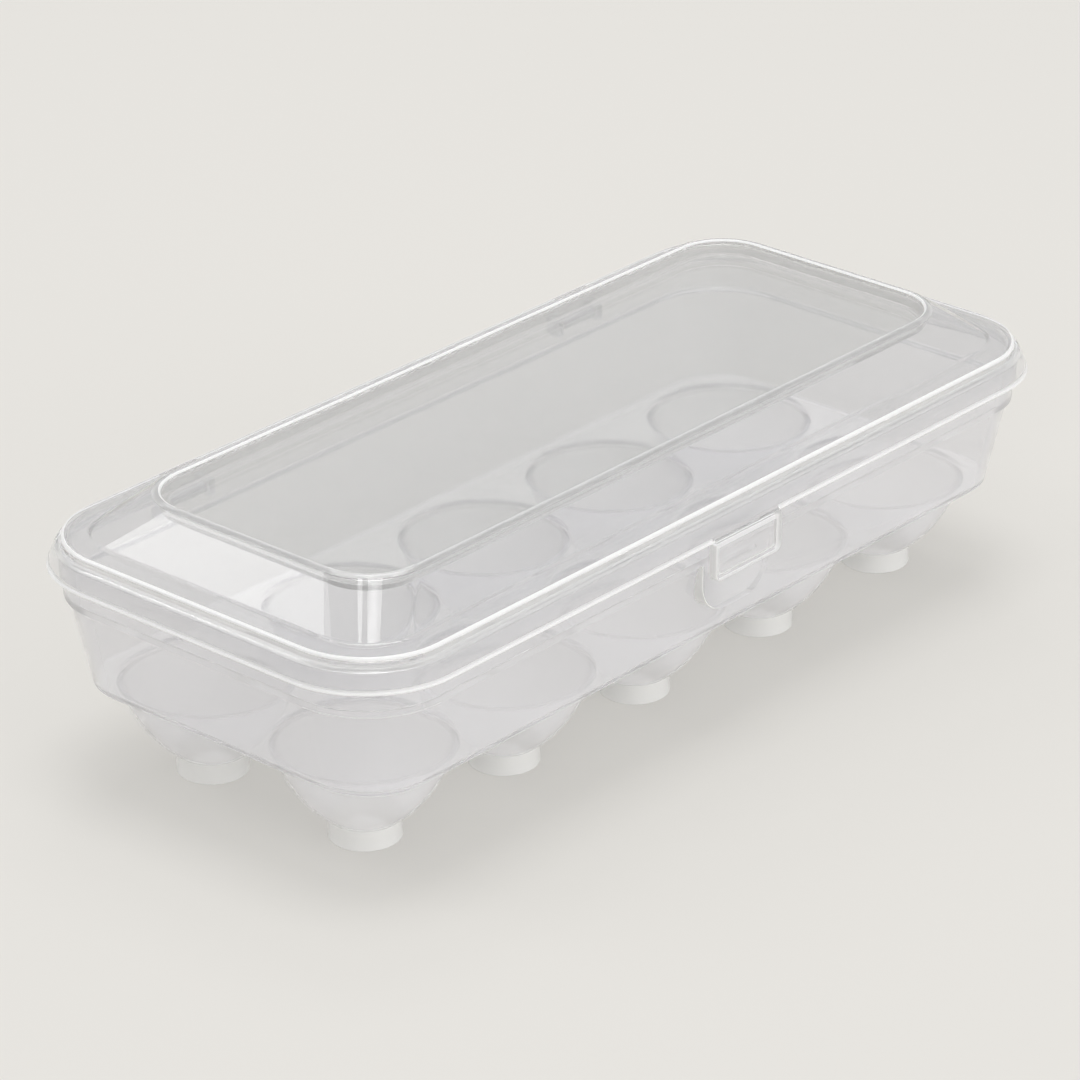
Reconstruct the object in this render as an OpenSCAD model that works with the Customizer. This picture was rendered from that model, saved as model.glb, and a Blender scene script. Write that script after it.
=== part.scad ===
// Clear keeper for ten eggs: a tray of two rows of cups under a flip lid.
// Millimetres, +Z up. The origin is on the table under the middle of the keeper.
// The long side with the latch faces -Y and the hinges are on the +Y side.

/* [Egg cups] */
// Outer radius of a cup at its mouth
mouth_r = 21; // [18:0.5:24]
// Floor left between neighbouring cups of a row
cup_gap = 5; // [3:0.5:12]
// Floor left between the two rows of cups
row_gap = 5.8; // [3:0.2:12]
// Depth of a cup from the tray floor to the top of its foot
cup_depth = 19.5; // [14:0.5:26]
// How far a cup wall swells outside a straight cone
cup_bulge = 1.9; // [0.5:0.1:3]
// Radius of the round foot under a cup
foot_r = 8.5; // [6:0.5:11]
// Height of the foot
foot_h = 5.2; // [3:0.2:8]
// Rounding of the foot's lower edge
foot_round = 0.5; // [0.2:0.1:1]

/* [Tray] */
// Thickness of the tray's plastic
tray_t = 1.4; // [1:0.1:2]
// Floor left between the end cups and the outside of the end walls
end_margin = 1.5; // [1.4:0.1:8]
// Floor left between a row of cups and the outside of the long walls
side_margin = 3; // [1.4:0.1:8]
// Corner radius of the tray at its floor
tray_corner_r = 15.2; // [12:0.2:22]
// Rounding where the walls turn into the floor
heel_r = 1.2; // [0.4:0.1:1.4]
// Height of the leaning walls above the floor
wall_h = 21.3; // [16:0.1:30]
// Lean of the walls from upright, in degrees
wall_lean = 12; // [6:0.5:16]
// Width of the ledge from the wall out to the rim band
rim_step = 1.1; // [0.8:0.1:3]
// Height of the upright rim band
rim_h = 10.9; // [8:0.1:16]

/* [Lid] */
// Thickness of the lid's plastic
lid_t = 1.4; // [1:0.1:2]
// Clearance between the rim's top and the lid that rests on it
seat_gap = 0.3; // [0.2:0.05:0.6]
// Height of the upright band between the seat and the shoulder
shoulder_h = 2; // [1.5:0.1:4]
// Rounding of the shoulder's outer edge
shoulder_round = 1; // [0.4:0.1:1.3]
// Width of the flat shoulder
shoulder_w = 6.4; // [4:0.1:10]
// How far the skirt flares outside the shoulder band
flare = 3.6; // [3:0.1:5]
// Width of the step at the skirt's top
skirt_step = 1.3; // [0.8:0.1:1.8]
// Height of the skirt below the step
skirt_h = 5.3; // [4:0.1:8]
// Height of the sloping sides of the dome
bevel_h = 8.7; // [5:0.1:16]
// Run of the slopes at the two ends
bevel_run_end = 10.6; // [6:0.1:16]
// Run of the slopes along the two long sides
bevel_run_side = 9.1; // [6:0.1:16]
// Corner radius of the dome's top outline
crest_corner_r = 15; // [10:0.5:20]
// Width of the crest around the top panel
crest_w = 2.2; // [1.8:0.1:4]
// Radius at which the slopes turn over into the crest
crest_turn_r = 2.6; // [1.5:0.1:2.8]
// Rounding of the crest's inner edge
crest_edge_r = 0.5; // [0.3:0.1:0.8]
// Depth of the top panel below the crest
panel_drop = 3.6; // [3:0.1:6]
// Run of the crest's inner side down to the panel
panel_run = 1.3; // [0.6:0.1:3]

/* [Latch] */
// Width of the latch tab
tab_w = 24; // [16:0.5:40]
// How far the tab stands in front of the skirt
tab_stand = 0.5; // [0.3:0.1:1.2]
// Thickness of the tab
tab_t = 1.3; // [1:0.1:1.6]
// Depth of the tab's turned sides
tab_side = 2.4; // [1.8:0.1:2.8]
// Rounding of the tab's lower corners
tab_round = 2; // [0.5:0.1:4]
// Clearance between the tab's top and the skirt
tab_gap = 0.3; // [0.2:0.05:0.5]
// Height of the raised catch pad under the rim
pad_h = 13; // [8:0.5:16]
// Rounding of the pad's lower corners
pad_round = 8; // [3:0.5:10]
// Radius of the bead on the pad
bead_r = 0.7; // [0.5:0.1:1]
// Width of the bead
bead_w = 12; // [8:0.5:14]
// Distance from the ledge down to the bead
bead_drop = 0.2; // [0.1:0.1:1]
// Clearance between the bead and the lip's edge in front of it
bead_gap = 0.3; // [0.2:0.05:0.6]
// Play between the bead and the lip under it
lip_play = 0.1; // [0.05:0.05:0.5]
// Thickness of the lip along the tab's foot
lip_t = 1.1; // [0.8:0.1:2]

/* [Hinges] */
// Distance of each hinge from the middle of the tray
hinge_x = 70; // [40:1:90]
// Width of a lid knuckle
knuckle_w = 12; // [8:0.5:20]
// Radius of a lid knuckle
knuckle_r = 1.8; // [1.7:0.05:2.1]
// Thickness of each ear beside a knuckle
ear_t = 2.2; // [1.6:0.1:4]
// Radius of an ear
ear_r = 2; // [1.8:0.05:2.3]
// Radius of the pin between two ears
pin_r = 1; // [0.8:0.05:1.1]
// Radial clearance of a knuckle on its pin
pin_gap = 0.06; // [0.03:0.01:0.1]
// Clearance between a knuckle and the ears beside it
ear_gap = 0.3; // [0.2:0.05:0.6]
// Clearance between the ears and the skirt above them
hinge_gap = 0.7; // [0.5:0.05:1.5]
// Width of the slot that lets a knuckle snap over its pin
snap_w = 1.6; // [1.2:0.1:1.7]

/* [Hidden] */
$fn = 96;

cups_long = 5;
cup_pitch = 2 * mouth_r + cup_gap;
row_pitch = 2 * mouth_r + row_gap;
lean = tan(wall_lean);

// Heights
floor_top = foot_h + cup_depth;
floor_low = floor_top - tray_t;
ledge_z = floor_top + wall_h;
rim_top = ledge_z + rim_h;
seat_z = rim_top + seat_gap;
step_z = seat_z + lid_t;
shoulder_z = step_z + shoulder_h;
skirt_z = step_z - skirt_h;
crest_z = shoulder_z + bevel_h;

// Centres of the corner arcs that the tray's walls, the rim and the lid's skirt share
corner_x = cup_pitch * (cups_long - 1) / 2 + mouth_r + end_margin - tray_corner_r;
corner_y = row_pitch / 2 + mouth_r + side_margin - tray_corner_r;

// Radii about those centres
wall_top_r = tray_corner_r + (ledge_z - floor_low) * lean;
rim_r = wall_top_r + rim_step;
skirt_r = rim_r + flare;
dome_r = rim_r - shoulder_w;
// Measured level, a sloping wall of the dome is this thick at the ends
bevel_t = lid_t * norm([bevel_h, bevel_run_end]) / bevel_h;

// Centres of the crest's corner arcs, and how far from upright the slopes' outward normals lean
crest_x = corner_x + dome_r - bevel_run_end - crest_corner_r;
crest_y = corner_y + dome_r - bevel_run_side - crest_corner_r;
crest_lean = atan(bevel_h / bevel_run_end);
crest_top = crest_z + crest_turn_r * (1 - cos(crest_lean));
// The crest and the slopes meet on an upright face below the crest
neck_h = lid_t / 2;
neck_r = crest_corner_r - bevel_t + neck_h * bevel_run_end / bevel_h;
panel_r = crest_corner_r - crest_w - panel_run;
panel_z = crest_top - panel_drop;

// Front face of the tab, and the ears reach as far behind the skirt as the tab does in front
reach = corner_y + skirt_r + tab_stand;
hinge_y = reach - ear_r;
hinge_z = skirt_z - hinge_gap - ear_r;
tab_top = skirt_z - tab_gap;
bead_z = ledge_z - bead_drop - bead_r;
lip_z = bead_z - bead_r - lip_play;
tab_low = lip_z - lip_t;

// Points on an arc of radius r about c, from angle a to angle b
function arc(c, r, a, b, n = 8) = [for (i = [0:n]) c + r * [cos(a + (b - a) * i / n), sin(a + (b - a) * i / n)]];

// Points from p to q on an arc that swells by bulge to the right of the way from p to q
function swell(p, q, bulge, n = 14) =
    let (
        half = norm(q - p) / 2,
        along = (q - p) / (2 * half),
        side = [along.y, -along.x],
        r = (half * half + bulge * bulge) / (2 * bulge),
        c = (p + q) / 2 + side * (bulge - r),
        turn = asin(half / r)
    )
    [for (i = [0:n]) c + r * (side * cos(turn * (2 * i / n - 1)) + along * sin(turn * (2 * i / n - 1)))];

// Sweeps a profile round a rounded rectangle, measured outwards from its corner centres
module swept(cx, cy) {
    for (k = [0:3]) {
        sx = (k == 0 || k == 3) ? 1 : -1;
        sy = k < 2 ? 1 : -1;
        translate([sx * cx, sy * cy, 0]) rotate([0, 0, 90 * k]) rotate_extrude(angle = 90) children();
    }
    for (k = [0, 1]) rotate([0, 0, 180 * k]) {
        translate([-cx, cy, 0]) rotate([90, 0, 90]) linear_extrude(2 * cx) children();
        translate([cx, cy, 0]) rotate([90, 0, 0]) linear_extrude(2 * cy) children();
    }
}

// Rounded rectangle of corner radius r about centres at cx and cy
module outline(cx, cy, r) {
    square([2 * cx, 2 * (cy + r)], center = true);
    square([2 * (cx + r), 2 * cy], center = true);
    for (sx = [-1, 1], sy = [-1, 1]) translate([sx * cx, sy * cy]) circle(r);
}

module plate(cx, cy, r, low, high) {
    translate([0, 0, low]) linear_extrude(high - low) outline(cx, cy, r);
}

// Upright shape with rounded lower corners, drawn across and up, from its top edge down
module hanging_outline(w, h, r) {
    intersection() {
        union() {
            translate([-w / 2, -h + r]) square([w, h]);
            translate([-w / 2 + r, -h]) square([w - 2 * r, h]);
            for (s = [-1, 1]) translate([s * (w / 2 - r), -h + r]) circle(r);
        }
        translate([-w / 2, -h]) square([w, h]);
    }
}

// Turns a shape drawn across and up into a slab that runs back along Y from y
module facing_front(y, depth, z) {
    translate([0, y + depth, z]) rotate([90, 0, 0]) linear_extrude(depth) children();
}

// Floor with a round opening over each cup
module tray_floor() {
    color("lavender", 0.5) difference() {
        plate(corner_x, corner_y, tray_corner_r - heel_r, floor_low, floor_top);
        for (i = [0:cups_long - 1], row = [-1, 1]) {
            translate([(i - (cups_long - 1) / 2) * cup_pitch, row * row_pitch / 2, floor_low - 1])
                cylinder(r = mouth_r, h = tray_t + 2);
        }
    }
}

// Leaning walls, open behind the catch pad
module tray_wall() {
    heel = [tray_corner_r - heel_r, floor_low + heel_r];
    profile = concat(
        [[heel.x, floor_low]],
        arc(heel, heel_r, -75, -wall_lean, 5),
        [
            [wall_top_r, ledge_z],
            [wall_top_r - tray_t, ledge_z],
            [heel.x + (floor_top - floor_low) * lean, floor_top],
            [heel.x, floor_top]
        ]
    );
    color("lavender", 0.5) difference() {
        swept(corner_x, corner_y) polygon(profile);
        facing_front(-corner_y - rim_r, rim_r, ledge_z)
            hanging_outline(tab_w - 2 * tray_t, pad_h - tray_t, pad_round - tray_t);
    }
}

// Ledge and upright band round the top of the tray
module tray_rim() {
    nib = 0.4;
    color("lavender", 0.5) swept(corner_x, corner_y) polygon(concat(
        [[wall_top_r - tray_t, ledge_z]],
        arc([rim_r - nib, ledge_z + nib], nib, -90, 0, 4),
        arc([rim_r - nib, rim_top - nib], nib, 0, 90, 4),
        [
            [rim_r - tray_t, rim_top],
            [rim_r - tray_t, ledge_z + tray_t],
            [wall_top_r - tray_t, ledge_z + tray_t]
        ]
    ));
}

// Pad below the rim, flush with it, with the bead that the tab snaps over
module latch_catch() {
    color("lavender", 0.5) {
        difference() {
            facing_front(-corner_y - rim_r, rim_r - tray_corner_r, ledge_z)
                hanging_outline(tab_w, pad_h, pad_round);
            facing_front(-corner_y - rim_r + tray_t, rim_r, ledge_z)
                hanging_outline(tab_w - 2 * tray_t, pad_h - tray_t, pad_round - tray_t);
            translate([-tab_w, 0, 0]) rotate([90, 0, 90]) linear_extrude(2 * tab_w) polygon([
                [-corner_y - tray_corner_r - (ledge_z - pad_h - 1 - floor_low) * lean, ledge_z - pad_h - 1],
                [-corner_y - wall_top_r - lean, ledge_z + 1],
                [0, ledge_z + 1],
                [0, ledge_z - pad_h - 1]
            ]);
        }
        intersection() {
            translate([-bead_w / 2, -corner_y - rim_r, bead_z])
                rotate([0, 90, 0]) cylinder(r = bead_r, h = bead_w);
            translate([-bead_w, -corner_y - rim_r - 2 * bead_r, 0]) cube([2 * bead_w, 2 * bead_r, ledge_z]);
        }
    }
}

// Cup with its swelling wall and its closed round foot, place 0 to 4 along the tray
module egg_cup(place, row) {
    outer = swell([foot_r, foot_h], [mouth_r, floor_top], cup_bulge);
    inner = swell([mouth_r - tray_t, floor_top], [foot_r - tray_t, foot_h], -cup_bulge);
    color("lavender", 0.5)
        translate([(place - (cups_long - 1) / 2) * cup_pitch, row * row_pitch / 2, 0])
        rotate_extrude() polygon(concat(
            [[0, 0]],
            arc([foot_r - foot_round, foot_round], foot_round, -90, 0, 4),
            outer,
            inner,
            [[foot_r - tray_t, tray_t], [0, tray_t]]
        ));
}

// Two ears on the back of the rim with the pin between them
module hinge_ears(side) {
    rim_y = corner_y + rim_r;
    gap = knuckle_w + 2 * ear_gap;
    color("lavender", 0.5) translate([side * hinge_x, 0, 0]) {
        for (s = [-1, 1]) translate([s * (gap + ear_t) / 2 - ear_t / 2, 0, 0]) {
            translate([0, hinge_y, hinge_z]) rotate([0, 90, 0]) cylinder(r = ear_r, h = ear_t);
            translate([0, rim_y, hinge_z - ear_r]) cube([ear_t, hinge_y - rim_y, 2 * ear_r]);
        }
        translate([-gap / 2, hinge_y, hinge_z]) rotate([0, 90, 0]) cylinder(r = pin_r, h = gap);
    }
}

// Flaring skirt that hangs outside the rim, with the step that rests on it
module lid_skirt() {
    edge_r = rim_r + skirt_step;
    lip = skirt_z + 0.8;
    turn = 0.4;
    color("white", 0.5) swept(corner_x, corner_y) polygon(concat(
        [[rim_r - lid_t, seat_z], [rim_r - lid_t, step_z]],
        arc([edge_r - turn, step_z - turn], turn, 90, 30, 4),
        [
            [skirt_r - 0.2, lip + 0.5],
            [skirt_r, lip],
            [skirt_r, skirt_z],
            [skirt_r - lid_t, skirt_z],
            [skirt_r - lid_t - 0.1, lip],
            [rim_r + seat_gap, seat_z]
        ]
    ));
}

// Flat ring round the foot of the dome, with its rounded edge and upright band
module lid_shoulder() {
    color("white", 0.5) swept(corner_x, corner_y) polygon(concat(
        [
            [rim_r - lid_t, step_z],
            [rim_r - lid_t, shoulder_z - lid_t],
            [dome_r - bevel_t, shoulder_z - lid_t],
            [dome_r - bevel_t, shoulder_z]
        ],
        arc([rim_r - shoulder_round, shoulder_z - shoulder_round], shoulder_round, 90, 0),
        [[rim_r, step_z]]
    ));
}

// Block of the dome's sloping form between two heights, drawn in by inset
module dome_block(low, high, inset) {
    hull() for (z = [low, high]) {
        t = (z - shoulder_z) / bevel_h;
        cx = corner_x + t * (crest_x - corner_x);
        cy = corner_y + t * (crest_y - corner_y);
        r = dome_r + t * (crest_corner_r - dome_r) - inset;
        translate([0, 0, z == low ? low : high - 0.01]) linear_extrude(0.01) outline(cx, cy, r, $fn = 64);
    }
}

// Four sloping sides that join at rounded corners
module lid_dome() {
    color("white", 0.5) difference() {
        dome_block(shoulder_z, crest_z, 0);
        dome_block(shoulder_z - 1, crest_z - neck_h, bevel_t);
        plate(crest_x, crest_y, neck_r, shoulder_z, crest_z + 1);
    }
}

// Crest that the slopes turn over into, and its inner side down to the panel
module lid_crest() {
    inner = crest_corner_r - crest_w;
    turn = [
        crest_corner_r - crest_turn_r * sin(crest_lean),
        crest_top - crest_turn_r
    ];
    edge = [inner + crest_edge_r, crest_top - crest_edge_r];
    color("white", 0.5) swept(crest_x, crest_y) polygon(concat(
        [[neck_r, crest_z - neck_h], [neck_r, crest_z]],
        arc(turn, crest_turn_r, 90 - crest_lean, 90, 5),
        arc(edge, crest_edge_r, 90, 150, 4),
        [
            [panel_r, panel_z],
            [panel_r, panel_z - lid_t],
            [panel_r + lid_t, panel_z - lid_t]
        ]
    ));
}

// Flat top panel, sunk below the crest
module lid_panel() {
    color("white", 0.5) plate(crest_x, crest_y, panel_r, panel_z - lid_t, panel_z);
}

// Knuckle that snaps over the pin, with its arm up to the skirt
module hinge_knuckle(side) {
    skirt_y = corner_y + skirt_r;
    color("white", 0.5) translate([side * hinge_x - knuckle_w / 2, 0, 0]) difference() {
        union() {
            translate([0, hinge_y, hinge_z]) rotate([0, 90, 0]) cylinder(r = knuckle_r, h = knuckle_w);
            translate([0, skirt_y - lid_t, hinge_z]) cube([knuckle_w, lid_t, skirt_z - hinge_z]);
        }
        translate([-1, hinge_y, hinge_z]) rotate([0, 90, 0]) cylinder(r = pin_r + pin_gap, h = knuckle_w + 2);
        translate([-1, hinge_y, hinge_z]) rotate([-60, 0, 0]) translate([0, 0, -snap_w / 2])
            cube([knuckle_w + 2, 2 * knuckle_r, snap_w]);
    }
}

// Tab with turned sides and a lip along its foot that snaps under the bead
module latch_tab() {
    lip_y = -corner_y - rim_r - bead_r - bead_gap;
    back = -reach + tab_t;
    color("white", 0.5) {
        facing_front(-reach, tab_t, tab_top) hanging_outline(tab_w, tab_top - tab_low, tab_round);
        for (x = [-tab_w / 2, tab_w / 2 - tab_t]) translate([x, back, tab_low + tab_round])
            cube([tab_t, tab_side - tab_t, tab_top - tab_low - tab_round]);
        translate([-tab_w / 2 + tab_round, back, tab_low])
            cube([tab_w - 2 * tab_round, lip_y - back, lip_t]);
    }
}

tray_floor();
tray_wall();
tray_rim();
latch_catch();
hinge_ears(-1);  // hinge_ears_left
hinge_ears(1);  // hinge_ears_right
egg_cup(0, -1);  // egg_cup_front_1
egg_cup(1, -1);  // egg_cup_front_2
egg_cup(2, -1);  // egg_cup_front_3
egg_cup(3, -1);  // egg_cup_front_4
egg_cup(4, -1);  // egg_cup_front_5
egg_cup(0, 1);  // egg_cup_back_1
egg_cup(1, 1);  // egg_cup_back_2
egg_cup(2, 1);  // egg_cup_back_3
egg_cup(3, 1);  // egg_cup_back_4
egg_cup(4, 1);  // egg_cup_back_5
lid_skirt();
lid_shoulder();
lid_dome();
lid_crest();
lid_panel();
hinge_knuckle(-1);  // hinge_knuckle_left
hinge_knuckle(1);  // hinge_knuckle_right
latch_tab();
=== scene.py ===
import math

import bmesh
import bpy
from mathutils import Matrix, Vector


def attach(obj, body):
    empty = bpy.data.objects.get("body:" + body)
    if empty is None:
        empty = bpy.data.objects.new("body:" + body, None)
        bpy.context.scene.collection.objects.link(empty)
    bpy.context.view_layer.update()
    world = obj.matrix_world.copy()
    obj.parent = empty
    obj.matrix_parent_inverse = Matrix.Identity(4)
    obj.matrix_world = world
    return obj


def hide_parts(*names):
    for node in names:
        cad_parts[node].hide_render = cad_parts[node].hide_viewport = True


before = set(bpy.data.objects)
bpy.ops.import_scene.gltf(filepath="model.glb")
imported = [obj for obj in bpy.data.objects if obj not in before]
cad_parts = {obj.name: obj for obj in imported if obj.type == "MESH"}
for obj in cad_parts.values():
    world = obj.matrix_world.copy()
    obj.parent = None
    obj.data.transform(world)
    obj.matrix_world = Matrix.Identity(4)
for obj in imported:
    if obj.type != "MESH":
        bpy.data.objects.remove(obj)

scene = bpy.context.scene
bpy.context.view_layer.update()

# Camera. It looks down on the near left corner of the closed keeper through a long lens,
# from the place that the photograph's straight edges give.
camera = bpy.data.objects.new("camera", bpy.data.cameras.new("camera"))
scene.collection.objects.link(camera)
camera.location = (-0.77610, -0.66790, 0.52060)
turn = math.radians(-49.04)
rise = math.radians(25.52)
level = math.cos(rise)
back = Vector((math.sin(turn) * level, -math.cos(turn) * level, math.sin(rise)))
camera.rotation_euler = (-back).to_track_quat("-Z", "Y").to_euler()
camera.data.sensor_width = 36
camera.data.lens = 158.914
camera.data.clip_start = 0.05
camera.data.clip_end = 20
scene.camera = camera
scene.view_settings.view_transform = "Standard"


# Tray. One injection moulding of water-clear styrene, 1.4 mm thick: leaning walls under an
# upright rim band, and a floor whose ten openings drop into the egg cups. Sizes are in mm.
MM = 0.001  # metres in a millimetre
NEAR = 1e-6  # metres: points nearer to each other than this are one point
CLEAR, PALE_GLINT, FOOT_AND_GLINT, LIP_SHADE, CUP = range(5)  # the finishes of the tray, by slot
wall = 1.4
corner = (101.3, 32.7)  # the middle of the right back corner's rounding
floor_under, band_foot, band_top = 23.3, 46.0, 56.9
floor_top = floor_under + wall
floor_radius, slope_radius, band_radius = 15.2, 20.03, 21.13
floor_inside, slope_inside, band_inside = 14.3, 18.9, band_radius - wall


class Signal:
    """A value in a finish's nodes. Sums and products with it add Math nodes."""

    def __init__(self, finish, socket):
        self.finish = finish
        self.socket = socket

    def __add__(self, other):
        return self.finish.add("Math", {"operation": "ADD"}, {0: self, 1: other})

    __radd__ = __add__

    def __mul__(self, other):
        return self.finish.add("Math", {"operation": "MULTIPLY"}, {0: self, 1: other})

    __rmul__ = __mul__


class Finish:
    """The nodes of a material, or of the room, which are all added by one method."""

    def __init__(self, owner):
        owner.use_nodes = True
        self.owner = owner
        self.tree = owner.node_tree
        self.tree.nodes.clear()

    def add(self, kind, settings=(), sockets=(), out=0):
        """Adds a node, makes its settings, and then sets or links its sockets."""
        node = self.tree.nodes.new("ShaderNode" + kind)
        for key, value in dict(settings).items():
            setattr(node, key, value)
        for key, value in dict(sockets).items():
            if isinstance(value, Signal):
                self.tree.links.new(value.socket, node.inputs[key])
            else:
                node.inputs[key].default_value = value
        return Signal(self, node.outputs[out]) if len(node.outputs) else None


def clear_plastic(name, tint, clear, lets):
    """Wavy, faintly scuffed plastic: its tint, how clear it is, and what its shadow lets by."""
    finish = Finish(bpy.data.materials.new(name))
    spot = finish.add("TexCoord", out="Object")
    swirl = finish.add("TexNoise", sockets={"Vector": spot, "Scale": 28.0, "Detail": 2.0})
    marks = finish.add("TexNoise", sockets={"Vector": spot, "Scale": 260.0, "Detail": 2.0})
    wave = finish.add("Bump", sockets={"Strength": 0.04, "Distance": 0.002, "Height": swirl})
    surface = finish.add("BsdfPrincipled", sockets={
        "Base Color": (*tint, 1), "Roughness": 0.02 + 0.02 * marks, "IOR": 1.5,
        "Transmission Weight": clear, "Normal": wave,
    })
    straight = finish.add("BsdfTransparent", sockets={"Color": (lets, lets, lets, 1)})
    for ray in ("Is Shadow Ray", "Is Diffuse Ray"):
        passes = finish.add("LightPath", out=ray)
        surface = finish.add("MixShader", sockets={0: passes, 1: surface, 2: straight})
    finish.add("OutputMaterial", sockets={"Surface": surface})
    return finish.owner


tray_clear = clear_plastic("tray_clear", (0.96, 0.957, 0.972), 0.75, 0.875)
# Whiter, less clear plastic that paints highlights on roundings; also the pale finish of the
# pad's foot and the ears.
tray_pale_glint = clear_plastic("tray_pale_glint", (0.98, 0.977, 0.988), 0.5, 0.875)
# Near-opaque white: the milky feet, and a painted highlight on the pad's rounded edge and left
# side.
tray_foot_and_glint = clear_plastic("tray_foot_and_glint", (0.99, 0.99, 0.98), 0.06, 0.9)
# A darker tint that paints shade along the cups' mouths.
tray_lip_shade = clear_plastic("tray_lip_shade", (0.84, 0.835, 0.86), 0.8, 0.875)
tray_cup = clear_plastic("tray_cup", (0.965, 0.96, 0.978), 0.6, 0.875)


def round_off(mesh, geom, width, steps, affect="EDGES"):
    """Rounds off edges, or a plate's corners, and returns the new faces."""
    return bmesh.ops.bevel(
        mesh, geom=geom, offset=width * MM, offset_type="OFFSET", affect=affect,
        segments=steps, profile=0.5, material=-1, clamp_overlap=affect == "EDGES",
    )["faces"]


def rounded_plate(centre, radius, z):
    """Starts a mesh as one level face with round corners about four centres."""
    mesh = bmesh.new()
    plate = bmesh.ops.create_grid(mesh, x_segments=1, y_segments=1, size=1)["verts"]
    half = Vector((centre[0] + radius, centre[1] + radius, 1)) * MM
    bmesh.ops.scale(mesh, vec=half, verts=plate)
    bmesh.ops.translate(mesh, vec=(0, 0, z * MM), verts=plate)
    round_off(mesh, plate, radius, steps=14, affect="VERTICES")
    return mesh


def nearest_inside(centre, v):
    """The nearest place to a vertex in the rectangle between the four corner centres."""
    return [max(-c * MM, min(c * MM, p)) for c, p in zip(centre, v.co)]


def sweep(mesh, rings):
    """Extrudes a plate's open edge through rings of corner centre, radius and height."""
    centre, radius, _ = rings[0]
    edges = [e for e in mesh.edges if e.is_boundary]
    for new_centre, new_radius, z in rings[1:]:
        made = bmesh.ops.extrude_edge_only(mesh, edges=edges)["geom"]
        for v in (g for g in made if isinstance(g, bmesh.types.BMVert)):
            inside = nearest_inside(centre, v)
            out = (v.co.xy - Vector(inside)) * (new_radius / radius)
            v.co.x = inside[0] * new_centre[0] / centre[0] + out.x
            v.co.y = inside[1] * new_centre[1] / centre[1] + out.y
            v.co.z = z * MM
        edges = [g for g in made if isinstance(g, bmesh.types.BMEdge)]
        centre, radius = new_centre, new_radius
    bmesh.ops.contextual_create(mesh, geom=edges)


def soften(mesh, ring, width, steps, slot):
    """Rounds off the corner that runs round a moulding at one of its rings."""
    centre, radius, z = ring
    reach = Vector((centre[0] + radius, centre[1] + radius)) * MM

    def on_ring(v):
        straight = max(abs(v.co.x) - reach.x, abs(v.co.y) - reach.y)
        curved = (v.co.xy - Vector(nearest_inside(centre, v))).length - radius * MM
        at_height = abs(v.co.z - z * MM) < NEAR
        return at_height and (abs(straight) < 2 * NEAR or abs(curved) < 20 * NEAR)

    edges = [e for e in mesh.edges if on_ring(e.verts[0]) and on_ring(e.verts[1])]
    for face in round_off(mesh, edges, width, steps):
        face.material_index = slot


def mould(rings):
    """Makes a moulding's closed skin from its rings, and rounds off each of them."""
    mesh = rounded_plate(*rings[0][:3])
    sweep(mesh, [ring[:3] for ring in rings])
    for *ring, width, steps, slot in rings:
        soften(mesh, ring, width, steps, slot)
    return mesh


# Each ring has a corner centre, radius and height, then its rounding's width, steps and slot.
# The pale slot at the tray's foot and at the step under the band paints highlights on their
# roundings.
tray = mould([
    (corner, floor_radius, floor_under, 0.95, 3, PALE_GLINT),
    (corner, slope_radius, band_foot, 0.25, 3, CLEAR),
    (corner, band_radius, band_foot, 0.4, 3, PALE_GLINT),
    (corner, band_radius, band_top, 0.4, 3, CLEAR),
    (corner, band_inside, band_top, 0.4, 3, CLEAR),
    (corner, band_inside, band_foot + wall, 0.3, 3, CLEAR),
    (corner, slope_inside, band_foot + wall, 0.4, 3, CLEAR),
    (corner, floor_inside, floor_top, 0.55, 3, CLEAR),
])


# Egg cups. Ten round bowls with swelling sides, moulded in one with the tray's floor in two
# rows of five. Each has a rounded mouth and stands on a short hollow foot.
cup_along, cup_across = 47, 47.8  # from one cup's middle to the next
mouth_radius, mouth_inside = 20.62, 19.4
foot_radius, foot_top, foot_rounding = 8.5, 5.2, 0.5
foot_inside = foot_radius - wall


def draw_arc(mesh, vert, centre, degrees, steps):
    """Draws an arc in the XZ plane from a vertex."""
    bmesh.ops.spin(
        mesh, geom=[vert], cent=(centre[0] * MM, 0, centre[1] * MM), axis=(0, -1, 0),
        angle=math.radians(degrees), steps=steps, use_merge=False,
    )


def draw_line(mesh, vert, x, z):
    """Draws a line in the XZ plane from a vertex and returns its far end."""
    end = bmesh.ops.extrude_vert_indiv(mesh, verts=[vert])["verts"][0]
    end.co = (x * MM, 0, z * MM)
    return end


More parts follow.
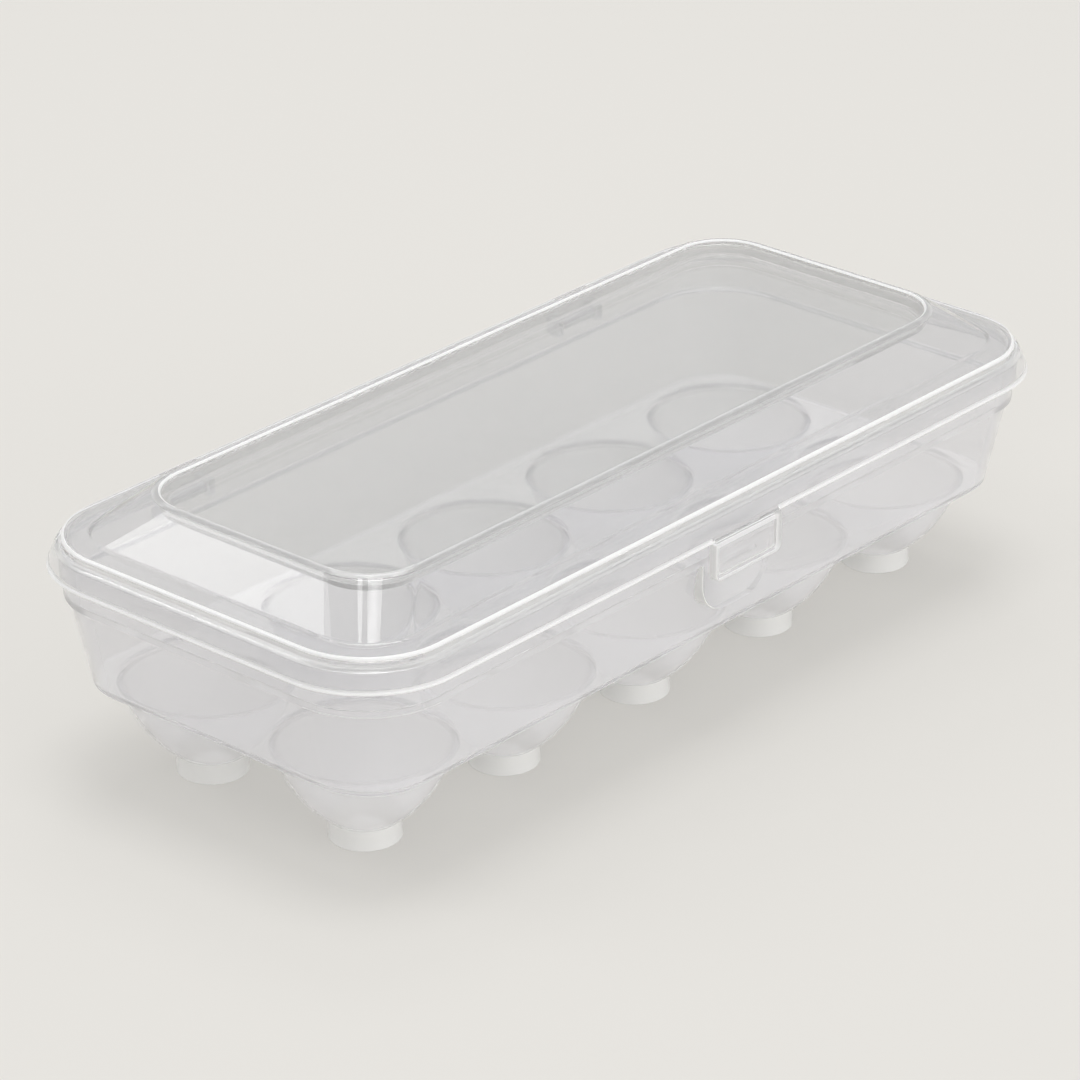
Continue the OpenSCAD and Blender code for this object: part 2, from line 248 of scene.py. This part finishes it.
def cup_skin(mouth, foot, bulge, lip, flange, sole):
    """One skin of a cup, from a flat flange in the floor over the lip and down to the sole."""
    skin = bmesh.new()
    chord = Vector((mouth[0] - foot[0], mouth[1] - foot[1]))
    half = chord.length / 2
    radius = (half * half + bulge * bulge) / (2 * bulge)
    outward = Vector((chord.y, -chord.x)).normalized()
    centre = (Vector(mouth) + Vector(foot)) / 2 + outward * (bulge - radius)
    swing = math.degrees(2 * math.asin(half / radius))
    top = skin.verts.new((mouth[0] * MM, 0, mouth[1] * MM))
    draw_arc(skin, top, centre, -swing, steps=16)
    low = min(skin.verts, key=lambda v: v.co.z)
    for x in (foot[0], 0):
        low = draw_line(skin, low, x, sole)
    draw_line(skin, top, flange, mouth[1])
    bmesh.ops.spin(
        skin, geom=skin.verts[:] + skin.edges[:], cent=(0, 0, 0), axis=(0, 0, 1),
        angle=math.tau, steps=72, use_merge=True,
    )
    bmesh.ops.remove_doubles(skin, verts=skin.verts, dist=NEAR)

    def on_circle(v, x, z):
        return abs(v.co.xy.length - x * MM) < 2 * NEAR and abs(v.co.z - z * MM) < NEAR

    for (x, z), width in ((mouth, lip), ((foot[0], sole), foot_rounding)):
        circle = [e for e in skin.edges if all(on_circle(v, x, z) for v in e.verts)]
        rounding = round_off(skin, circle, width, steps=4)
        # The mouth's rounding takes the darker tint: painted shade along the rim.
        if (x, z) == mouth:
            for face in rounding:
                face.material_index = LIP_SHADE
    return skin


def add_copy(mesh, data):
    """Adds a copy of a finished mesh to a bmesh and returns the copy's vertices."""
    known = set(mesh.verts)
    mesh.from_mesh(data)
    return [v for v in mesh.verts if v not in known]


def add_cups(skin, z):
    """Sets ten copies of a cup's skin in the tray and fills the floor round their flanges."""
    one_cup = bpy.data.meshes.new("cup")
    skin.to_mesh(one_cup)
    skin.free()
    for place in range(10):
        x = (place % 5 - 2) * cup_along * MM
        y = (place // 5 - 0.5) * cup_across * MM
        bmesh.ops.translate(tray, vec=(x, y, 0), verts=add_copy(tray, one_cup))
    bpy.data.meshes.remove(one_cup)

    def in_floor(part):
        return all(abs(v.co.z - z * MM) < NEAR for v in part.verts)

    plate = max((f for f in tray.faces if in_floor(f)), key=lambda f: f.calc_area())
    bmesh.ops.delete(tray, geom=[plate], context="FACES_ONLY")
    open_edges = [e for e in tray.edges if e.is_boundary and in_floor(e)]
    bmesh.ops.triangle_fill(tray, use_beauty=True, use_dissolve=False, edges=open_edges)


def plain_object(name, mesh, *finishes):
    """Makes a bmesh an object of the scene, with a material slot for each finish."""
    data = bpy.data.meshes.new(name)
    mesh.to_mesh(data)
    mesh.free()
    for finish in finishes:
        data.materials.append(finish)
    piece = bpy.data.objects.new(name, data)
    scene.collection.objects.link(piece)
    return piece


add_cups(cup_skin(
    mouth=(mouth_radius, floor_under), foot=(foot_radius, foot_top), bulge=1.85, lip=0.3,
    flange=21.12, sole=0,
), floor_under)
add_cups(cup_skin(
    mouth=(mouth_inside, floor_top), foot=(foot_inside, foot_top), bulge=1.9, lip=1.2,
    flange=20.9, sole=wall,
), floor_top)
bmesh.ops.recalc_face_normals(tray, faces=tray.faces)

# The feet are milky and the bowls hazy. The pale plastic that paints a highlight on the step
# under
# the band stays at its corners only: the step's straight runs are as clear as the walls.
for face in tray.faces:
    middle = face.calc_center_median() / MM
    straight = abs(middle.x) < corner[0] or abs(middle.y) < corner[1]
    if middle.z < foot_top - 0.2:
        face.material_index = FOOT_AND_GLINT
    elif middle.z < floor_under - 0.4:
        face.material_index = CUP
    elif abs(middle.z - band_foot) < 2 and straight:
        face.material_index = CLEAR
tray_moulding = plain_object(
    "tray_moulding", tray, tray_clear, tray_pale_glint, tray_foot_and_glint, tray_lip_shade, tray_cup
)


# Catch pad and hinge ears. Under the band's front is a raised U-shaped pad with the bead that
# holds the latch, and on its back are two pairs of ears, each with a pin for a knuckle of the
# lid. They are moulded with the tray, and are joined to it here as solids.
tab_width = 24
pad_height, pad_round, pad_deep, pad_top = 14, 8, 6, band_foot + 1
pad_front = -corner[1] - band_radius
rounded_up_to = -5.5  # the pad's front edge is rounded to the left of this
wall_lean = math.radians(12)
bead_radius, bead_length, bead_height = 0.7, 12, 45.1
sunk = wall / 2  # how far a joined piece reaches into the wall
hair = 0.01  # slack where faces and points are picked by their place


def whole(mesh):
    """All of a bmesh, as its operators take it."""
    return mesh.verts[:] + mesh.edges[:] + mesh.faces[:]


def pad_block(width, height, radius, front, deep, top):
    """Upright block with rounded lower corners, from its front face back along Y."""
    block = bmesh.new()
    face = bmesh.ops.create_grid(block, x_segments=1, y_segments=1, size=0.5)["verts"]
    bmesh.ops.scale(block, vec=(width * MM, height * MM, 1), verts=face)
    upright = Matrix.Rotation(math.pi / 2, 3, "X")
    bmesh.ops.rotate(block, cent=(0, 0, 0), matrix=upright, verts=face)
    middle = (top - height / 2) * MM
    bmesh.ops.translate(block, vec=(0, front * MM, middle), verts=face)
    low = [v for v in block.verts if v.co.z < middle]
    round_off(block, low, radius, steps=10, affect="VERTICES")
    grown = bmesh.ops.extrude_face_region(block, geom=block.faces[:])["geom"]
    rear = [g for g in grown if isinstance(g, bmesh.types.BMVert)]
    bmesh.ops.translate(block, vec=(0, deep * MM, 0), verts=rear)
    bmesh.ops.recalc_face_normals(block, faces=block.faces)
    return block


def join_solid(body, tool):
    """Joins a tool's solid to a body, so that one clean mesh is left."""
    step = body.modifiers.new("solid", "BOOLEAN")
    step.operation = "UNION"
    step.solver = "EXACT"
    step.object = tool
    shaped = bpy.data.meshes.new_from_object(
        body.evaluated_get(bpy.context.evaluated_depsgraph_get())
    )
    body.modifiers.clear()
    old = body.data
    body.data = shaped
    bpy.data.meshes.remove(old)
    bpy.data.objects.remove(tool)


def finish_mesh(body):
    """Smooth shading that keeps the flat faces flat and the sharp corners sharp."""
    body.data.shade_smooth()
    body.data.set_sharp_from_angle(angle=math.radians(32))
    weigh = body.modifiers.new("even_shading", "WEIGHTED_NORMAL")
    weigh.keep_sharp = True
    weigh.weight = 80


pad = pad_block(tab_width, pad_height, pad_round, pad_front, pad_deep, pad_top)
front_edges = [
    e for e in pad.edges
    if all(abs(v.co.y - pad_front * MM) < NEAR for v in e.verts)
    and all(v.co.x < rounded_up_to * MM for v in e.verts)
]
rounding = round_off(pad, front_edges, width=0.45, steps=4)
pad.normal_update()

# The pad's rounded edge and left side are milky white, a painted highlight, and its level foot
# has the pale finish of the edges, as the ears have.
for face in pad.faces:
    if face in rounding or face.normal.x < -0.3:
        face.material_index = FOOT_AND_GLINT
    elif face.normal.z < -0.95:
        face.material_index = PALE_GLINT
bmesh.ops.bisect_plane(
    pad, geom=whole(pad), dist=1e-7, clear_outer=True,
    plane_co=Vector((0, -corner[1] - slope_radius + sunk, band_foot)) * MM,
    plane_no=(0, math.cos(wall_lean), math.sin(wall_lean)),
)
bmesh.ops.holes_fill(pad, edges=[e for e in pad.edges if e.is_boundary], sides=0)
bmesh.ops.recalc_face_normals(pad, faces=pad.faces)
for hand in ("left", "right"):
    ears = add_copy(pad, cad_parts["hinge_ears_" + hand].data)
    for v in ears:
        if v.co.y < (corner[1] + band_radius + hair) * MM:
            v.co.y -= sunk * MM
    bmesh.ops.remove_doubles(pad, verts=ears, dist=NEAR)
for face in pad.faces:
    if face.calc_center_median().y > 0:
        face.material_index = PALE_GLINT

bead = bmesh.new()
bmesh.ops.create_cone(
    bead, cap_ends=True, segments=20, radius1=bead_radius * MM, radius2=bead_radius * MM,
    depth=bead_length * MM,
)
bmesh.ops.rotate(
    bead, cent=(0, 0, 0), matrix=Matrix.Rotation(math.pi / 2, 3, "Y"), verts=bead.verts,
)
bmesh.ops.translate(bead, vec=Vector((0, pad_front, bead_height)) * MM, verts=bead.verts)

# The bead crosses the pad's face, so it is joined by itself: two solids that overlap in one
# tool would stay two.
tray_extras = plain_object("tray_extras", pad, tray_clear, tray_pale_glint, tray_foot_and_glint)
join_solid(tray_moulding, tray_extras)
join_solid(tray_moulding, plain_object("bead", bead, tray_clear))
finish_mesh(tray_moulding)
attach(tray_moulding, "tray")
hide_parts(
    "tray_floor", "tray_wall", "tray_rim", "latch_catch",
    "hinge_ears_left", "hinge_ears_right",
    *[f"egg_cup_{row}_{place}" for row in ("front", "back") for place in range(1, 6)],
)


# Lid. The second styrene moulding: a flaring skirt and stepped shoulder that sit on the rim,
# a four-sided dome, and a flat panel sunk inside its rounded crest. Two slotted knuckles on
# the skirt's back snap over the pins of the hinge ears.
# The lid's own slots: a milky, lighter veil that paints soft highlights, and a lighter tint for
# the outsides, painted light.
VEIL_GLINT, LIT_SIDE = 2, 3  # the lid's own slots, after CLEAR and PALE_GLINT
crest = (90.43, 23.33)
hem, hem_top, step, shoulder = 53.3, 53.85, 58.6, 60.6
panel_under, panel_top, crest_under, crest_top = 64.9, 66.29, 68.45, 69.89
hem_radius, hem_top_radius, skirt_radius = 24.73, 24.49, 22.43
hem_inside, hem_step_radius, hem_step = hem_radius - wall, 23.23, 54.1
skirt_inside = skirt_radius - 1
panel_radius, crest_radius = 11.5, 12.8
panel_under_radius, crest_under_radius = 12.48, 13.7
dome_rise, dome_radius, dome_swell = 8.7, 14.73, 0.27
dome_wall = 2.2  # measured level through the sloping side

# The clear plastic's darker tint paints the shade seen in the lid's panel, and the sides'
# lighter copy paints light on its outsides. The white paints highlights on the lid's roundings
# and the tab's edges, and the veil, milky and lighter, paints soft ones.
lid_shaded_clear = clear_plastic("lid_shaded_clear", (0.885, 0.888, 0.88), 0.9, 0.95)
lid_lit_side = clear_plastic("lid_lit_side", (0.93, 0.926, 0.938), 0.86, 0.95)
lid_painted_glint = clear_plastic("lid_painted_glint", (1.0, 1.0, 1.0), 0.1, 0.95)
lid_veil_glint = clear_plastic("lid_veil_glint", (0.96, 0.96, 0.96), 0.68, 0.95)


def on_slope(z, inset):
    """Corner centre and radius of the dome's sloping sides at a height, and the height."""
    part = (z - shoulder) / dome_rise
    centre = tuple(a + part * (b - a) for a, b in zip(corner, crest))
    return centre, dome_radius + part * dome_swell - inset, z


# From the panel's edge over the crest and out to the hem, and back inside the skirt and dome.
lid = mould([
    (crest, panel_radius, panel_top, 0.7, 3, CLEAR),
    (crest, crest_radius, crest_top, 0.45, 4, PALE_GLINT),
    (*on_slope(crest_top, 0), 0.93, 5, VEIL_GLINT),
    (*on_slope(shoulder, 0), 0.7, 3, CLEAR),
    (corner, band_radius, shoulder, 0.75, 4, PALE_GLINT),
    (corner, band_radius, step, 0.25, 2, VEIL_GLINT),
    (corner, skirt_radius, step, 0.85, 4, VEIL_GLINT),
    (corner, hem_top_radius, hem_top, 0.2, 2, CLEAR),
    (corner, hem_radius, hem, 0.3, 3, PALE_GLINT),
    (corner, hem_inside, hem, 0.3, 3, PALE_GLINT),
    (corner, hem_step_radius, hem_step, 0.2, 2, CLEAR),
    (corner, skirt_inside, step - wall, 0.2, 2, CLEAR),
    (corner, band_inside, step - wall, 0.3, 2, CLEAR),
    (corner, band_inside, shoulder - wall, 0.4, 3, CLEAR),
    (*on_slope(shoulder - wall, dome_wall), 0.6, 3, CLEAR),
    (crest, crest_under_radius, crest_under, 0.5, 3, CLEAR),
    (crest, panel_under_radius, panel_under, 0.7, 3, CLEAR),
])
for tab_side in (-tab_width / 2, tab_width / 2):
    bmesh.ops.bisect_plane(
        lid, geom=whole(lid), dist=1e-7, plane_co=(tab_side * MM, 0, 0), plane_no=(1, 0, 0),
    )
bmesh.ops.recalc_face_normals(lid, faces=lid.faces)

# The hem is painted white, a highlight, but for the part over the tab. The top of the crest,
# the rise
# of the shoulder and the front and left of the crest's inner rounding are veiled, milky and
# lighter:
# painted soft highlights. The outsides below the panel have the lighter finish of the sides,
# painted light, and the panel keeps the darker clear tint, painted shade.
for face in lid.faces:
    middle = face.calc_center_median() / MM
    slot = face.material_index
    out = max(abs(middle.x) - corner[0], abs(middle.y) - corner[1])
    on_rise = step - 0.1 < middle.z < shoulder - 0.2 and out > band_radius - wall / 2
    on_front = middle.y < 0 and abs(middle.x) < crest[0]
    on_left = middle.x < 0 and abs(middle.y) < crest[1]
    over_tab = middle.y < 0 and abs(middle.x) < tab_width / 2
    if middle.z < hem_top - hair:
        face.material_index = CLEAR if over_tab else PALE_GLINT
    elif middle.z > crest_top - hair:
        face.material_index = VEIL_GLINT
    elif middle.z > panel_top + 0.2 and slot == PALE_GLINT and (on_front or on_left):
        face.material_index = VEIL_GLINT
    elif on_rise and slot == CLEAR:
        face.material_index = VEIL_GLINT
    elif middle.z < panel_top - 0.2 and slot == CLEAR and face.normal.z > -0.2:
        if face.normal.xy.dot(middle.xy) > -0.01:
            face.material_index = LIT_SIDE
lid_moulding = plain_object("lid_moulding", lid, lid_shaded_clear, lid_painted_glint, lid_veil_glint, lid_lit_side)

knuckles = bmesh.new()
for hand in ("left", "right"):
    knuckle = add_copy(knuckles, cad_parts["hinge_knuckle_" + hand].data)
    bmesh.ops.remove_doubles(knuckles, verts=knuckle, dist=NEAR)
root_rise, root_gap = 0.5, 0.07  # how a knuckle's root lies inside the hem
root_front, root_back = corner[1] + hem_inside + root_gap, corner[1] + hem_radius - root_gap
for v in knuckles.verts:
    if v.co.z > (hem - hair) * MM:
        v.co.z += root_rise * MM
        v.co.y = max(root_front * MM, min(root_back * MM, v.co.y))
join_solid(lid_moulding, plain_object("knuckles", knuckles, lid_lit_side))
finish_mesh(lid_moulding)
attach(lid_moulding, "lid")
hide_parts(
    "lid_skirt", "lid_shoulder", "lid_dome", "lid_crest", "lid_panel",
    "hinge_knuckle_left", "hinge_knuckle_right",
)


# Latch tab. A small shallow tray of the lid's plastic, hollow at the back, that hangs from
# the skirt's hem on a thin web. The lip along its foot snaps under the bead.
tab_front, tab_deep = -57.925, 2.4
tab_height, tab_round, tab_top = 9.8, 2, 53.0
tab_rim, tab_hollow = 1.3, 1.1
clear_top = 0.8  # how far down from its top the tab's edges stay clear
tab_clear = clear_plastic("tab_clear", (0.95, 0.947, 0.957), 0.85, 0.95)
tab = pad_block(tab_width, tab_height, tab_round, tab_front, tab_deep, tab_top)
tab_back = (tab_front + tab_deep) * MM
rear = [f for f in tab.faces if all(abs(v.co.y - tab_back) < NEAR for v in f.verts)]
bmesh.ops.inset_region(tab, faces=rear, thickness=tab_rim * MM, depth=0, use_even_offset=True)
sunk_in = bmesh.ops.extrude_face_region(tab, geom=rear)["geom"]
bmesh.ops.translate(
    tab, vec=(0, -tab_hollow * MM, 0),
    verts=[g for g in sunk_in if isinstance(g, bmesh.types.BMVert)],
)
bmesh.ops.delete(tab, geom=[f for f in rear if f.is_valid], context="FACES_ONLY")
bmesh.ops.recalc_face_normals(tab, faces=tab.faces)
corners = [
    e for e in tab.edges
    if len(e.link_faces) == 2 and e.calc_face_angle() > math.radians(60)
]
round_off(tab, corners, width=0.45, steps=3)
# Below its top, the tab's rounded edges, sides and rear rim take the white finish: painted
# highlights along its edges.
for face in tab.faces:
    middle = face.calc_center_median() / MM
    on_rear_rim = (
        abs(middle.x) > tab_width / 2 - tab_rim and middle.y > tab_front + tab_deep - 0.1
    )
    if middle.z < tab_top - clear_top and (abs(face.normal.y) < 0.9 or on_rear_rim):
        face.material_index = PALE_GLINT
latch = plain_object("latch_tab_clear", tab, tab_clear, lid_painted_glint)
finish_mesh(latch)
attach(latch, "latch")
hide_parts("latch_tab")


# Table and backdrop. One pale matt sheet under and behind the keeper, a hair below the feet,
# in a pale room that shows brighter to the camera and through the plastic than it lights.
below_feet = 0.2
sheet = bmesh.new()
bmesh.ops.create_grid(sheet, x_segments=1, y_segments=1, size=4)
bmesh.ops.translate(sheet, vec=(0, 0, -below_feet * MM), verts=sheet.verts)
sheet_paint = Finish(bpy.data.materials.new("floor_paint"))
matt = sheet_paint.add("BsdfDiffuse", sockets={"Color": (0.79, 0.772, 0.735, 1)})
sheet_paint.add("OutputMaterial", sockets={"Surface": matt})
floor = plain_object("floor", sheet, sheet_paint.owner)

room_light, more_seen, more_mirrored, more_through = 0.37, 0.43, 0.07, 0.25
scene.world = bpy.data.worlds.new("studio")
room = Finish(scene.world)
strength = (
    room_light
    + more_seen * room.add("LightPath", out="Is Camera Ray")
    + more_mirrored * room.add("LightPath", out="Is Glossy Ray")
    + more_through * room.add("LightPath", out="Is Transmission Ray")
)
air = room.add("Background", sockets={"Color": (1, 1, 1, 1), "Strength": strength})
room.add("OutputWorld", sockets={"Surface": air})

# Light meets many faces of plastic on its way, and each of them counts as a bounce.
scene.cycles.max_bounces = 32
scene.cycles.transmission_bounces = 32
scene.cycles.glossy_bounces = 8
scene.cycles.transparent_max_bounces = 48


# Lamps. Soft boxes in front, to the left and right above light the keeper evenly, unseen in
# its gloss. Four more overhead are there to be seen in the lid, whose slopes, near corner
# and crest they whiten. Level lamps at one height would hide each other.
def softbox(name, place, aim, width, height, brightness):
    """A rectangular lamp that faces a point, as bright all over as it is told."""
    lamp = bpy.data.lights.new(name, "AREA")
    lamp.shape = "RECTANGLE"
    lamp.size = width
    lamp.size_y = height
    lamp.energy = brightness * math.pi * width * height
    box = bpy.data.objects.new(name, lamp)
    scene.collection.objects.link(box)
    box.location = place
    box.rotation_euler = (Vector(aim) - Vector(place)).to_track_quat("-Z", "Y").to_euler()


def overhead(name, height, x, y, width, depth, brightness):
    """A level softbox above the table, placed and sized in multiples of its height."""
    place = Vector((x, y, 1)) * height
    below = (place.x, place.y, 0)
    softbox(name, place, below, width * height, depth * height, brightness)


overhead("top_light", 3.2, 0.0, 0.0, 0.4, 0.4, 7.7)
overhead("back_light", 3.0, -0.65, 1.2, 0.7, 0.9, 2.35)
overhead("corner_light", 2.8, -0.106, 0.09, 0.04, 0.06, 4.5)
overhead("near_light", 2.8, 0.018, -0.055, 0.135, 0.14, 3.6)
overhead("crest_light", 2.8, 0.5, 0.42, 0.35, 0.35, 4.0)
softbox("front_light", (0.6, -3.0, 1.0), (0, 0, 0.05), 2.4, 1.4, 2.4)
softbox("left_light", (-2.6, -1.6, 1.2), (0, 0, 0.05), 1.2, 0.9, 3.8)
for unseen in ("top_light", "front_light", "left_light"):
    scene.objects[unseen].visible_glossy = False
    scene.objects[unseen].visible_transmission = False
